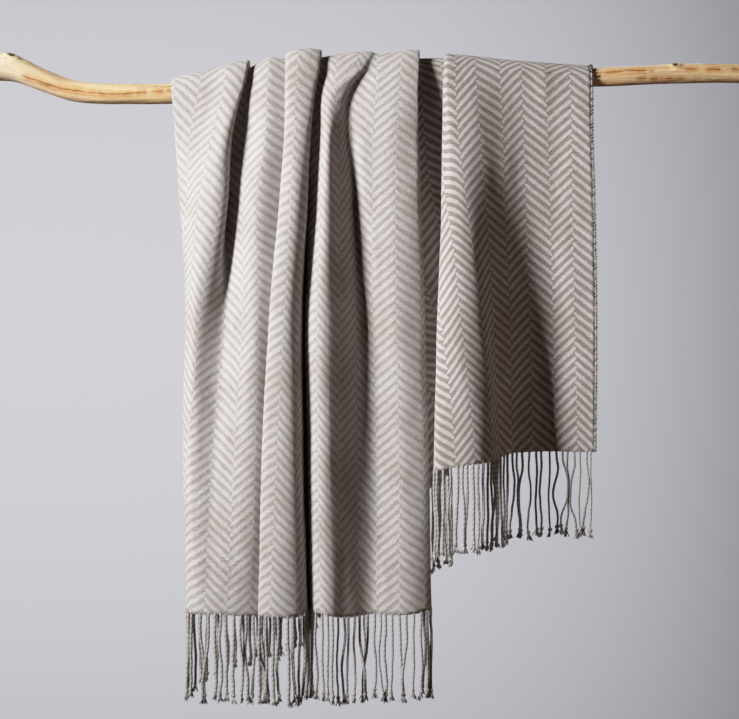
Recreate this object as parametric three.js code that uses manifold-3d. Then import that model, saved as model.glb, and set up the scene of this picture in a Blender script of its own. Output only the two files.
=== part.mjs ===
// A silk throw blanket with a twisted fringe, draped over a peeled wooden pole.
// Millimetres, +Z up. The front of the drape faces -Y and the pole runs along +X.
// The origin is the centre of the pole's sawn left end.

import * as THREE from "three";
import { mergeVertices } from "three/addons/utils/BufferGeometryUtils.js";
import Module from "manifold-3d";

const wasm = await Module();
wasm.setup();

// Driving dimensions of the throw.
const COLUMN_WIDTH = 37.6; // one herringbone column, from a peak line to the next trough line
const FIRST_COLUMN = 0.18; // column number at the right selvage
const LAST_COLUMN = 37.4; // column number at the turned-in selvage
const CLOTH_LENGTH = 1130; // woven length, from the front hem over the pole to the back hem
const CLOTH_THICKNESS = 1.6;

// Driving dimensions of the fringe at both ends.
const FRINGE_LENGTH = 135;
const STRAND_PITCH = 10.6; // along the hem, measured on the flat cloth
const STRAND_RADIUS = 1.2;
const STRAND_SIDES = 3;
const STRAND_STEPS = 2;
const STRAND_SWAY = 2.2; // how far a strand wanders sideways on its way down
const STRAND_LENGTH_SPREAD = 0.04; // share by which strands are longer or shorter than the fringe length
const ROOT_DEPTH = 1; // how far a strand reaches up into its heading
const HEADING_HEIGHT = 4; // the narrow heading that the strands of one end hang from
const HEADING_FOOT = 3; // thickness of the heading where the strands leave it
const HEADING_GAP = 0.6; // between the cloth's edge and the heading

// The pole's centre line and radius, a row for each place along it.
const POLE_LENGTH = 1200;
const POLE_SIDES = 12;
const POLE_STEPS = 30;
const poleRows = [
  { along: 0, height: 0, radius: 23.2 },
  { along: 33, height: -4, radius: 21.6 },
  { along: 73, height: -20, radius: 19.2 },
  { along: 121, height: -38, radius: 17.2 },
  { along: 169, height: -44, radius: 16.4 },
  { along: 233, height: -45, radius: 16.0 },
  { along: 289, height: -44, radius: 16.0 },
  { along: 353, height: -36, radius: 16.0 },
  { along: 425, height: -24, radius: 16.0 },
  { along: 505, height: -14, radius: 16.0 },
  { along: 585, height: -8, radius: 16.0 },
  { along: 697, height: -6, radius: 16.0 },
  { along: 777, height: -7, radius: 15.7 },
  { along: 841, height: -10, radius: 15.4 },
  { along: 905, height: -14, radius: 15.0 },
  { along: 955, height: -18, radius: 14.8 },
  { along: 1033, height: -15, radius: 15.2 },
  { along: 1113, height: -12, radius: 15.5 },
  { along: 1200, height: -12, radius: 15.2 },
];

// Low swellings of the pole where side shoots were trimmed off.
const KNOT_SPREAD = 40; // degrees round the pole from a swelling's middle to its rim
const knotRows = [
  { along: 24, angle: 90, reach: 16, rise: 2.0 },
  { along: 1090, angle: 75, reach: 18, rise: 2.2 },
];

// Heights at which the folds are set out, from the pole's top down to the long front hem.
const levels = [11, -40, -104, -216, -376, -616, -872];

// The folds of the front, from the right selvage round to the turned-in selvage, one row a fold line.
// For each level, column says which herringbone column the line runs on, across is its distance from the
// pole's left end, and out is how far it stands off the pole's surface, towards the front.
// The cloth runs left behind the pleats as a hidden layer, turns at the left edge and comes back over itself.
const foldRows = [
  { fold: "right selvage", column: 0.18, across: [953, 954, 954, 957, 960, 959, 957], out: [2.5, 5, 8, 9, 6, -2, -4] },
  { fold: "right swell", column: 1, across: [919, 921, 923, 924, 927, 933, 935], out: [2.2, 4, 5, 6, 3, -6, -7] },
  { fold: "panel valley", column: 2, across: [880, 882, 885, 889, 893, 898, 899], out: [2.2, 2.6, 2, 1, -3, -9, -10] },
  { fold: "slope foot", column: 3, across: [843, 844, 846, 850, 855, 861, 863], out: [2.4, 3, 4, 3, 2, -2, -3] },
  { fold: "slope", column: 4, across: [808, 810, 813, 815, 822, 827, 828], out: [3.6, 7, 12, 16, 18, 13, 13] },
  { fold: "slope head", column: 5, across: [769, 772, 776, 784, 794, 804, 805], out: [5.8, 12.4, 21.6, 35.5, 41, 41, 41] },
  { fold: "panel brow", column: 6, across: [738, 738, 741, 753, 773, 792, 795], out: [8, 16.2, 27.4, 52, 65, 67, 67] },
  {
    fold: "panel ridge",
    column: [6.25, 6.3, 6.35, 6.55, 7, 7.1, 7.1],
    across: [728, 728, 731, 739, 741, 762, 764],
    out: [9.2, 17, 28, 53, 73, 83, 83],
  },
  {
    fold: "panel face",
    column: [6.4, 6.45, 6.5, 6.8, 7.5, 8, 8.1],
    across: [724, 723, 726, 729, 727, 735, 732],
    out: [8.9, 16.3, 27, 51, 69, 83, 83],
  },
  {
    fold: "panel edge",
    column: [6.55, 6.6, 6.65, 7.05, 7.9, 8.85, 9],
    across: [721, 719, 720, 720, 713, 705, 703],
    out: [6.4, 12, 22, 44, 60, 74, 74],
  },
  {
    fold: "panel return",
    column: [7.1, 7.3, 7.6, 8.4, 9.5, 10.8, 11],
    across: [736, 734, 731, 722, 719, 727, 730],
    out: [4.2, 5.4, 6.5, 8, 9, 10, 10],
  },
  {
    fold: "recess",
    column: [8.3, 8.7, 9, 9.5, 10.2, 11.6, 11.8],
    across: [700, 694, 688, 681, 688, 694, 697],
    out: [2, 2.4, 3, 5, 5, 5, 5],
  },
  {
    fold: "hidden layer, right",
    column: [10.93, 11.26, 11.6, 12.05, 12.78, 14.13, 14.43],
    across: [597, 593, 590, 586, 593, 597, 601],
    out: [2, 3, 4, 5, 7, 7, 7],
  },
  {
    fold: "hidden layer, middle",
    column: [13.55, 13.83, 14.2, 14.6, 15.35, 16.65, 17.05],
    across: [494, 492, 492, 492, 498, 500, 505],
    out: [2, 3, 4, 5, 6, 8, 8],
  },
  {
    fold: "hidden layer, left",
    column: [16.18, 16.39, 16.8, 17.15, 17.93, 19.18, 19.68],
    across: [391, 390, 394, 397, 403, 403, 409],
    out: [2, 3, 4, 5, 7, 7, 7],
  },
  {
    fold: "left edge",
    column: [18.8, 18.95, 19.4, 19.7, 20.5, 21.7, 22.3],
    across: [288, 289, 295, 302, 308, 306, 313],
    out: [7, 10, 12, 14, 16, 18, 20],
  },
  {
    fold: "side crease",
    column: [19.4, 19.6, 19.93, 20.05, 20.8, 22, 22.6],
    across: [315, 315, 315, 313, 312, 313, 320],
    out: [11, 14, 19, 27, 32, 29, 27],
  },
  {
    fold: "first face",
    column: [20.4, 20.4, 20.6, 20.9, 21.2, 22.15, 22.7],
    across: [353, 346, 339, 329, 320, 317, 326],
    out: [13, 18, 28, 43, 47, 35, 31.5],
  },
  {
    fold: "first ridge",
    column: [21.4, 21.4, 21.5, 21.8, 21.75, 22.35, 22.8],
    across: [395, 384, 371, 361, 330, 327, 331],
    out: [16, 25, 38, 56, 56, 38.5, 34.5],
  },
  {
    fold: "first edge",
    column: [21.85, 21.85, 21.9, 22.3, 22.5, 22.65, 22.9],
    across: [416, 399, 383, 376, 355, 339, 335.5],
    out: [15.5, 23, 33, 48, 47, 38, 36.5],
  },
  { fold: "first valley", column: 23, across: [391, 387, 377, 372, 372, 353, 340], out: [3.6, 6, 9, 18, 36, 37, 38] },
  {
    fold: "second shoulder",
    column: [24.1, 24.1, 24.1, 23.9, 23.6, 23.5, 23.5],
    across: [419, 408, 408, 399, 392, 371, 357.5],
    out: [6.2, 12, 22, 38, 50, 44, 42.5],
  },
  { fold: "second ridge", column: 25, across: [443, 439, 437, 424, 426, 421, 411], out: [14, 26, 40, 59, 70, 60, 42] },
  {
    fold: "second tuck",
    column: [26.1, 26.1, 26.15, 26.3, 25.9, 25.75, 25.9],
    across: [479, 479, 478, 472, 459, 446, 439],
    out: [10, 19, 31, 50, 59, 47, 33],
  },
  {
    fold: "third edge",
    column: [26.5, 26.45, 26.5, 26.6, 26.4, 26.35, 26.45],
    across: [468, 468, 467, 460, 446, 433, 426],
    out: [18, 31, 44, 63, 72, 66, 49],
  },
  { fold: "third ridge", column: 27, across: [490, 485, 483, 477, 469, 456, 444], out: [24, 36, 51, 71, 79, 75, 60] },
  {
    fold: "third right edge",
    column: [27.8, 27.75, 27.75, 27.7, 27.85, 28.25, 28.5],
    across: [524, 514, 507, 500, 490, 491, 498],
    out: [20, 31, 45, 62, 67, 64, 50],
  },
  {
    fold: "dark gap",
    column: [29.5, 29.3, 29.3, 29.3, 29.3, 29.4, 29.6],
    across: [483, 480, 482, 493, 498, 501, 505],
    out: [6, 9, 11, 12, 13, 13, 13],
  },
  {
    fold: "fourth edge",
    column: [31.4, 31.12, 30.91, 30.69, 30.45, 30.52, 30.58],
    across: [532, 518, 520.5, 516, 504, 508, 512.5],
    out: [9, 17, 30, 46, 55, 53, 43],
  },
  {
    fold: "fourth ridge",
    column: [33.4, 32, 31.5, 31.35, 31.23, 31.2, 31.3],
    across: [597, 546, 537, 533, 527, 526, 534],
    out: [13, 31, 45, 62, 71, 67, 56],
  },
  {
    fold: "fourth slope",
    column: [33.7, 32.5, 32, 32, 32.1, 32.3, 32.3],
    across: [606, 564, 553, 554, 557, 561, 564],
    out: [12, 26, 34, 45, 54, 49, 42],
  },
  {
    fold: "fourth valley",
    column: [34, 32.9, 32.85, 33.1, 33.6, 33.8, 33.9],
    across: [615, 571, 566, 578, 593, 605, 609],
    out: [9, 17, 24, 29, 27, 25, 25],
  },
  {
    fold: "fifth shoulder",
    column: [34.4, 33.9, 33.8, 34, 34.3, 34.4, 34.5],
    across: [630, 608, 600, 606, 617, 627, 630],
    out: [10, 24, 33, 38, 37, 31, 31],
  },
  {
    fold: "fifth ridge",
    column: [35.1, 35, 35, 35, 35.1, 35.2, 35.2],
    across: [657, 648, 645, 642, 647, 655, 656],
    out: [15, 30, 41, 47, 45, 37.5, 36.5],
  },
  {
    fold: "fifth edge",
    column: [36, 36.05, 36.05, 36.15, 36.3, 36.4, 36.5],
    across: [680, 678, 679, 681, 687, 694, 699],
    out: [14, 28, 34, 36, 32, 26, 22],
  },
  {
    fold: "turned-in selvage",
    column: 37.4,
    across: [637, 638, 643, 649, 662, 675, 686],
    out: [6, 11, 16, 18, 16, 10, 9],
  },
];
const OVERLAY_START = 15; // the row of the left edge, from which the cloth lies over itself

// Height of the front hem by herringbone column.
const frontHem = [
  { column: 0.18, height: -617 },
  { column: 3, height: -617 },
  { column: 4, height: -619 },
  { column: 5, height: -626 },
  { column: 6, height: -631 },
  { column: 8, height: -638 },
  { column: 8.9, height: -645 },
  { column: 10.8, height: -660 },
  { column: 11.7, height: -675 },
  { column: 14.4, height: -708 },
  { column: 16.3, height: -743 },
  { column: 17, height: -778 },
  { column: 19.7, height: -818 },
  { column: 22.3, height: -870 },
  { column: 24, height: -873 },
  { column: 25.5, height: -876 },
  { column: 26.45, height: -874 },
  { column: 28, height: -876 },
  { column: 29.6, height: -864 },
  { column: 30.7, height: -868 },
  { column: 32, height: -877 },
  { column: 34, height: -873 },
  { column: 35, height: -874 },
  { column: 36.45, height: -868 },
  { column: 37.4, height: -862 },
];

// The grid of the cloth: steps across each pair of fold lines, and the rows from hem to hem.
const STEPS_PER_FOLD = 2;
const frontRowShares = [0, 0.09, 0.18, 0.28, 0.38, 0.48, 0.58, 0.67, 0.75, 0.82, 0.88, 0.93, 0.97, 1];
const overPoleAngles = [30, 60, 90, 120, 150];
const backRowShares = [0, 0.12, 0.3, 0.52, 0.76, 1];

// The back hangs in the same folds as the front, a little shallower.
const BACK_FLATTENING = 0.1;
const BACK_LAYER_GAP = 6; // added between the two layers
const BACK_BLEND_DROP = 100;
const BACK_HEM_SMOOTHING = 2; // columns to each side over which the back hem is evened out
const OVER_POLE_LENGTH = 100; // cloth taken up by the pole, between the front and the back hang

// The height of the hem on one grid column depends on its column number there, so it is found in a few rounds.
const HEM_ROUNDS = 4;
const HEM_START = -700;

// Value of a smooth curve through points at rising places, with the slopes of a parabola at each point.
function smoothCurve(places, values, place) {
  const last = places.length - 1;
  const rising = places[last] > places[0];
  let i = 0;
  while (i < last - 1 && (rising ? place > places[i + 1] : place < places[i + 1])) {
    i += 1;
  }
  const chord = (n) => (values[n + 1] - values[n]) / (places[n + 1] - places[n]);
  const slope = (n) => {
    if (n === 0) {
      return chord(0);
    }
    if (n === last) {
      return chord(last - 1);
    }
    const before = places[n] - places[n - 1];
    const after = places[n + 1] - places[n];
    return (chord(n - 1) * after + chord(n) * before) / (before + after);
  };
  const span = places[i + 1] - places[i];
  const t = (place - places[i]) / span;
  if (t <= 0) {
    return values[i] + slope(i) * (place - places[i]) * (i === 0 ? 0 : 1);
  }
  if (t >= 1) {
    return values[i + 1];
  }
  const t2 = t * t;
  const t3 = t2 * t;
  return (
    (2 * t3 - 3 * t2 + 1) * values[i] +
    (t3 - 2 * t2 + t) * span * slope(i) +
    (3 * t2 - 2 * t3) * values[i + 1] +
    (t3 - t2) * span * slope(i + 1)
  );
}

function tableCurve(rows, key, value, place) {
  return smoothCurve(
    rows.map((row) => row[key]),
    rows.map((row) => row[value]),
    place,
  );
}

const poleHeight = (along) => tableCurve(poleRows, "along", "height", along);
const poleRadius = (along) => tableCurve(poleRows, "along", "radius", along);
const hemHeight = (column) => tableCurve(frontHem, "column", "height", column);

// One fold line at one level.
function foldLine(row, level) {
  const read = (value) => (Array.isArray(value) ? smoothCurve(levels, value, level) : value);
  return { column: read(row.column), across: read(row.across), out: read(row.out) };
}

// A place on the front between fold lines: share runs from 0 to 1 between fold and fold + 1.
function frontPlace(fold, share, level) {
  const first = Math.max(fold - 1, 0);
  const rows = foldRows.slice(first, fold + 3).map((row) => foldLine(row, level));
  const columns = rows.map((row) => row.column);
  const here = fold - first;
  const column = columns[here] + (columns[here + 1] - columns[here]) * share;
  return {
    column,
    across: smoothCurve(columns, rows.map((row) => row.across), column),
    out: smoothCurve(columns, rows.map((row) => row.out), column),
  };
}

// The line of the cloth from the front hem over the pole to the back hem, at one grid column.
function clothLine(fold, share) {
  let pole = poleHeight(foldRows[fold].across[1]);
  let hem = HEM_START;
  for (let round = 0; round < HEM_ROUNDS; round += 1) {
    pole = poleHeight(frontPlace(fold, share, pole).across);
    hem = hemHeight(frontPlace(fold, share, hem).column);
  }
  const points = [];
  for (const part of frontRowShares) {
    const level = hem + (pole - hem) * part;
    const place = frontPlace(fold, share, level);
    points.push(new THREE.Vector3(place.across, -(poleRadius(place.across) + place.out), level));
  }
  for (const angle of overPoleAngles) {
    const turn = THREE.MathUtils.degToRad(angle);
    const radius = poleRadius(points.at(-1).x);
    const place = frontPlace(fold, share, pole + radius * Math.sin(turn));
    const reach = radius + place.out;
    const height = poleHeight(place.across) + reach * Math.sin(turn);
    points.push(new THREE.Vector3(place.across, -reach * Math.cos(turn), height));
  }
  const column = frontPlace(fold, share, hem).column;
  const hemBefore = hemHeight(Math.max(column - BACK_HEM_SMOOTHING, FIRST_COLUMN));
  const hemAfter = hemHeight(Math.min(column + BACK_HEM_SMOOTHING, LAST_COLUMN));
  const backDrop = CLOTH_LENGTH - (pole - 0.5 * (hemBefore + hemAfter)) - OVER_POLE_LENGTH;
  const overlay = THREE.MathUtils.smoothstep(fold + share, OVERLAY_START - 1, OVERLAY_START + 1);
  for (const part of backRowShares) {
    const drop = backDrop * part;
    const blend = THREE.MathUtils.smoothstep(drop, 0, BACK_BLEND_DROP);
    const place = frontPlace(fold, share, pole - drop);
    const out = place.out * (1 - BACK_FLATTENING * blend) + BACK_LAYER_GAP * blend * overlay;
    points.push(new THREE.Vector3(place.across, poleRadius(place.across) + out, pole - drop));
  }
  return { column, points };
}

// The whole grid of the cloth's middle surface.
function clothGrid() {
  const lines = [];
  for (let fold = 0; fold < foldRows.length - 1; fold += 1) {
    for (let step = 0; step < STEPS_PER_FOLD; step += 1) {
      lines.push(clothLine(fold, step / STEPS_PER_FOLD));
    }
  }
  lines.push(clothLine(foldRows.length - 2, 1));
  return lines;
}

// The direction of a line of points where it passes one of them: the mean of the steps before and after it.
function directionThrough(before, point, after) {
  const direction = new THREE.Vector3();
  if (before) {
    direction.add(point.clone().sub(before).normalize());
  }
  if (after) {
    direction.add(after.clone().sub(point).normalize());
  }
  return direction;
}

// A flat box, divided into a grid and carried onto a curved middle surface, with its thickness on both sides.
function sheetGeometry(middle, firstThickness, lastThickness) {
  const columns = middle.length - 1;
  const rows = middle[0].length - 1;
  const box = new THREE.BoxGeometry(1, 1, 1, columns, rows, 1);
  box.deleteAttribute("normal");
  box.deleteAttribute("uv");
  const geometry = mergeVertices(box);
  const index = geometry.index;
  for (let n = index.count - 6 * columns * rows; n < index.count; n += 6) {
    // The far side is divided along the same diagonals as the near side.
    const [a, b, d, , c] = index.array.slice(n, n + 6);
    index.array.set([a, b, c, a, c, d], n);
  }
  const position = geometry.attributes.position;
  for (let n = 0; n < position.count; n += 1) {
    const i = Math.round((position.getX(n) + 0.5) * columns);
    const j = Math.round((position.getY(n) + 0.5) * rows);
    const thickness = THREE.MathUtils.lerp(firstThickness, lastThickness, j / rows);
    const side = Math.sign(position.getZ(n)) * 0.5 * thickness;
    const point = middle[i][j].clone();
    const across = directionThrough(middle[i - 1]?.[j], point, middle[i + 1]?.[j]);
    const along = directionThrough(middle[i][j - 1], point, middle[i][j + 1]);
    const normal = across.cross(along);
    if (j === 0 || j === rows) {
      normal.z = 0; // the cut edges are level
    }
    normal.normalize();
    point.addScaledVector(normal, side);
    position.setXYZ(n, point.x, point.y, point.z);
  }
  return geometry;
}

function toSolid(geometry) {
  const bare = geometry.clone();
  bare.deleteAttribute("normal");
  bare.deleteAttribute("uv");
  const merged = mergeVertices(bare, 1e-4);
  return new wasm.Manifold(
    new wasm.Mesh({
      numProp: 3,
      vertProperties: new Float32Array(merged.attributes.position.array),
      triVerts: new Uint32Array(merged.index.array),
    }),
  );
}

function toGeometry(solid) {
  const mesh = solid.getMesh();
  const geometry = new THREE.BufferGeometry();
  geometry.setAttribute("position", new THREE.BufferAttribute(new Float32Array(mesh.vertProperties), 3));
  geometry.setIndex(new THREE.BufferAttribute(new Uint32Array(mesh.triVerts), 1));
  return geometry;
}

// A repeatable wander between -1 and 1, different for each strand.
const wander = (seed) => Math.sin(seed * 12.9898) * Math.cos(seed * 4.1414 + 1.3);

// One strand: a thin three-sided rod that hangs from inside the heading.
function strandGeometry(root, seed) {
  const length = FRINGE_LENGTH * (1 + STRAND_LENGTH_SPREAD * wander(seed + 0.5));
  const points = [new THREE.Vector3(root.x, root.y, root.z + ROOT_DEPTH)];
  for (let step = 1; step <= STRAND_STEPS; step += 1) {
    const share = step / STRAND_STEPS;
    const sideways = STRAND_SWAY * share * wander(seed + step * 0.37);
    const forward = STRAND_SWAY * 0.5 * share * wander(seed * 1.7 + step * 0.61);
    points.push(new THREE.Vector3(root.x + sideways, root.y + forward, root.z - length * share));
  }
  const section = new THREE.Shape();
  for (let side = 0; side < STRAND_SIDES; side += 1) {
    const angle = (2 * Math.PI * side) / STRAND_SIDES;
    const x = STRAND_RADIUS * Math.cos(angle);
    const y = STRAND_RADIUS * Math.sin(angle);
    if (side === 0) {
      section.moveTo(x, y);
    } else {
      section.lineTo(x, y);
    }
  }
  section.closePath();
  return new THREE.ExtrudeGeometry(section, {
    steps: STRAND_STEPS,
    bevelEnabled: false,
    extrudePath: new THREE.CatmullRomCurve3(points),
  });
}

// The fringe of one end: a heading that follows the hem, with its strands joined to it.
function fringeGeometry(hemPoints, hemColumns, seed) {
  const top = hemPoints.map((point) => point.clone().setZ(point.z - HEADING_GAP));
  const bottom = top.map((point) => point.clone().setZ(point.z - HEADING_HEIGHT));
  const heading = sheetGeometry(top.map((point, n) => [bottom[n], point]), HEADING_FOOT, CLOTH_THICKNESS);
  const width = (LAST_COLUMN - FIRST_COLUMN) * COLUMN_WIDTH;
  const count = Math.round(width / STRAND_PITCH);
  let fringe = toSolid(heading);
  for (let n = 0; n < count; n += 1) {
    const column = FIRST_COLUMN + ((n + 0.5) / count) * (LAST_COLUMN - FIRST_COLUMN);
    const next = hemColumns.findIndex((value) => value > column);
    const share = (column - hemColumns[next - 1]) / (hemColumns[next] - hemColumns[next - 1]);
    const root = new THREE.Vector3().lerpVectors(bottom[next - 1], bottom[next], share);
    fringe = fringe.add(toSolid(strandGeometry(root, seed + n)));
  }
  return toGeometry(fringe);
}

// A round bar, bent and swelled to the pole's centre line and radius, with flat sawn ends.
function poleGeometry() {
  const bar = new THREE.CylinderGeometry(1, 1, 1, POLE_SIDES, POLE_STEPS);
  bar.deleteAttribute("normal");
  bar.deleteAttribute("uv");
  const geometry = mergeVertices(bar);
  const position = geometry.attributes.position;
  for (let n = 0; n < position.count; n += 1) {
    const along = (position.getY(n) + 0.5) * POLE_LENGTH;
    const side = new THREE.Vector2(position.getX(n), position.getZ(n));
    const angle = THREE.MathUtils.radToDeg(Math.atan2(side.x, -side.y));
    let radius = poleRadius(along);
    for (const knot of knotRows) {
      const away = Math.hypot((along - knot.along) / knot.reach, (angle - knot.angle) / KNOT_SPREAD);
      radius += knot.rise * Math.max(0, 1 - away);
    }
    position.setXYZ(n, along, radius * side.y, poleHeight(along) + radius * side.x);
  }
  return geometry;
}

// Finishes.
const clothFinish = new THREE.MeshStandardMaterial({ color: 0xcfc6c0, roughness: 0.85, metalness: 0 });
const fringeFinish = new THREE.MeshStandardMaterial({ color: 0xb9b4ae, roughness: 0.9, metalness: 0 });
const woodFinish = new THREE.MeshStandardMaterial({ color: 0xd9b581, roughness: 0.6, metalness: 0 });

function part(name, geometry, material) {
  const mesh = new THREE.Mesh(geometry, material);
  mesh.name = name;
  return mesh;
}

const drape = clothGrid();
const drapeColumns = drape.map((line) => line.column);
const drapePoints = drape.map((line) => line.points);
const frontEdge = drapePoints.map((points) => points[0]);
const backEdge = drapePoints.map((points) => points.at(-1));
const clothGeometry = sheetGeometry(drapePoints, CLOTH_THICKNESS, CLOTH_THICKNESS);

const group = new THREE.Group();
group.add(part("pole", poleGeometry(), woodFinish));
group.add(part("throw_cloth", clothGeometry, clothFinish));
group.add(part("front_fringe", fringeGeometry(frontEdge, drapeColumns, 1), fringeFinish));
group.add(part("back_fringe", fringeGeometry(backEdge, drapeColumns, 500), fringeFinish));

export default group;
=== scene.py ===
import math

import bmesh
import bpy
import numpy as np
from mathutils import Matrix, Vector, noise


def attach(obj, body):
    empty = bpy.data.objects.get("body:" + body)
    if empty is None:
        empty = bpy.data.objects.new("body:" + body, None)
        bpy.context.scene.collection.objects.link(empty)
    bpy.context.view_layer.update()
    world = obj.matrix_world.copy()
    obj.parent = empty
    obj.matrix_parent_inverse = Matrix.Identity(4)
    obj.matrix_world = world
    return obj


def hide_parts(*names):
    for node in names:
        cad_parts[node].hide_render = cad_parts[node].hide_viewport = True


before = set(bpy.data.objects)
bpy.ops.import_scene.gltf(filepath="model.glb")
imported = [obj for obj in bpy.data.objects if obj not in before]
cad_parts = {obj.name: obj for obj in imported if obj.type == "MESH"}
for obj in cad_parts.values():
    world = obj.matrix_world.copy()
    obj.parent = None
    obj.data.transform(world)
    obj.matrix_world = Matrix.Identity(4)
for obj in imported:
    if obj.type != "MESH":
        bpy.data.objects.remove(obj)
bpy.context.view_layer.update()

MM = 0.001
random = np.random.default_rng(31)

# Driving dimensions of the throw, in millimetres.
COLUMN_WIDTH = 37.6
FIRST_COLUMN = 0.18
LAST_COLUMN = 37.4
CLOTH_LENGTH = 1130
CLOTH_THICKNESS = 1.6
FRINGE_LENGTH = 135
STRAND_PITCH = 10.6
POLE_LENGTH = 1200

# The pole's centre line and radius, a row for each place along it. The places in this table, the fold lines
# and the hem were read off the photograph in pixels, turned into millimetres and then adjusted.
POLE_ROWS = [
    {"along": 0, "height": 0, "radius": 23.2},
    {"along": 33, "height": -4, "radius": 21.6},
    {"along": 73, "height": -20, "radius": 19.2},
    {"along": 121, "height": -38, "radius": 17.2},
    {"along": 169, "height": -44, "radius": 16.4},
    {"along": 233, "height": -45, "radius": 16},
    {"along": 289, "height": -44, "radius": 16},
    {"along": 353, "height": -36, "radius": 16},
    {"along": 425, "height": -24, "radius": 16},
    {"along": 505, "height": -14, "radius": 16},
    {"along": 585, "height": -8, "radius": 16},
    {"along": 697, "height": -6, "radius": 16},
    {"along": 777, "height": -7, "radius": 15.7},
    {"along": 841, "height": -10, "radius": 15.4},
    {"along": 905, "height": -14, "radius": 15},
    {"along": 955, "height": -18, "radius": 14.8},
    {"along": 1033, "height": -15, "radius": 15.2},
    {"along": 1113, "height": -12, "radius": 15.5},
    {"along": 1200, "height": -12, "radius": 15.2},
]

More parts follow.
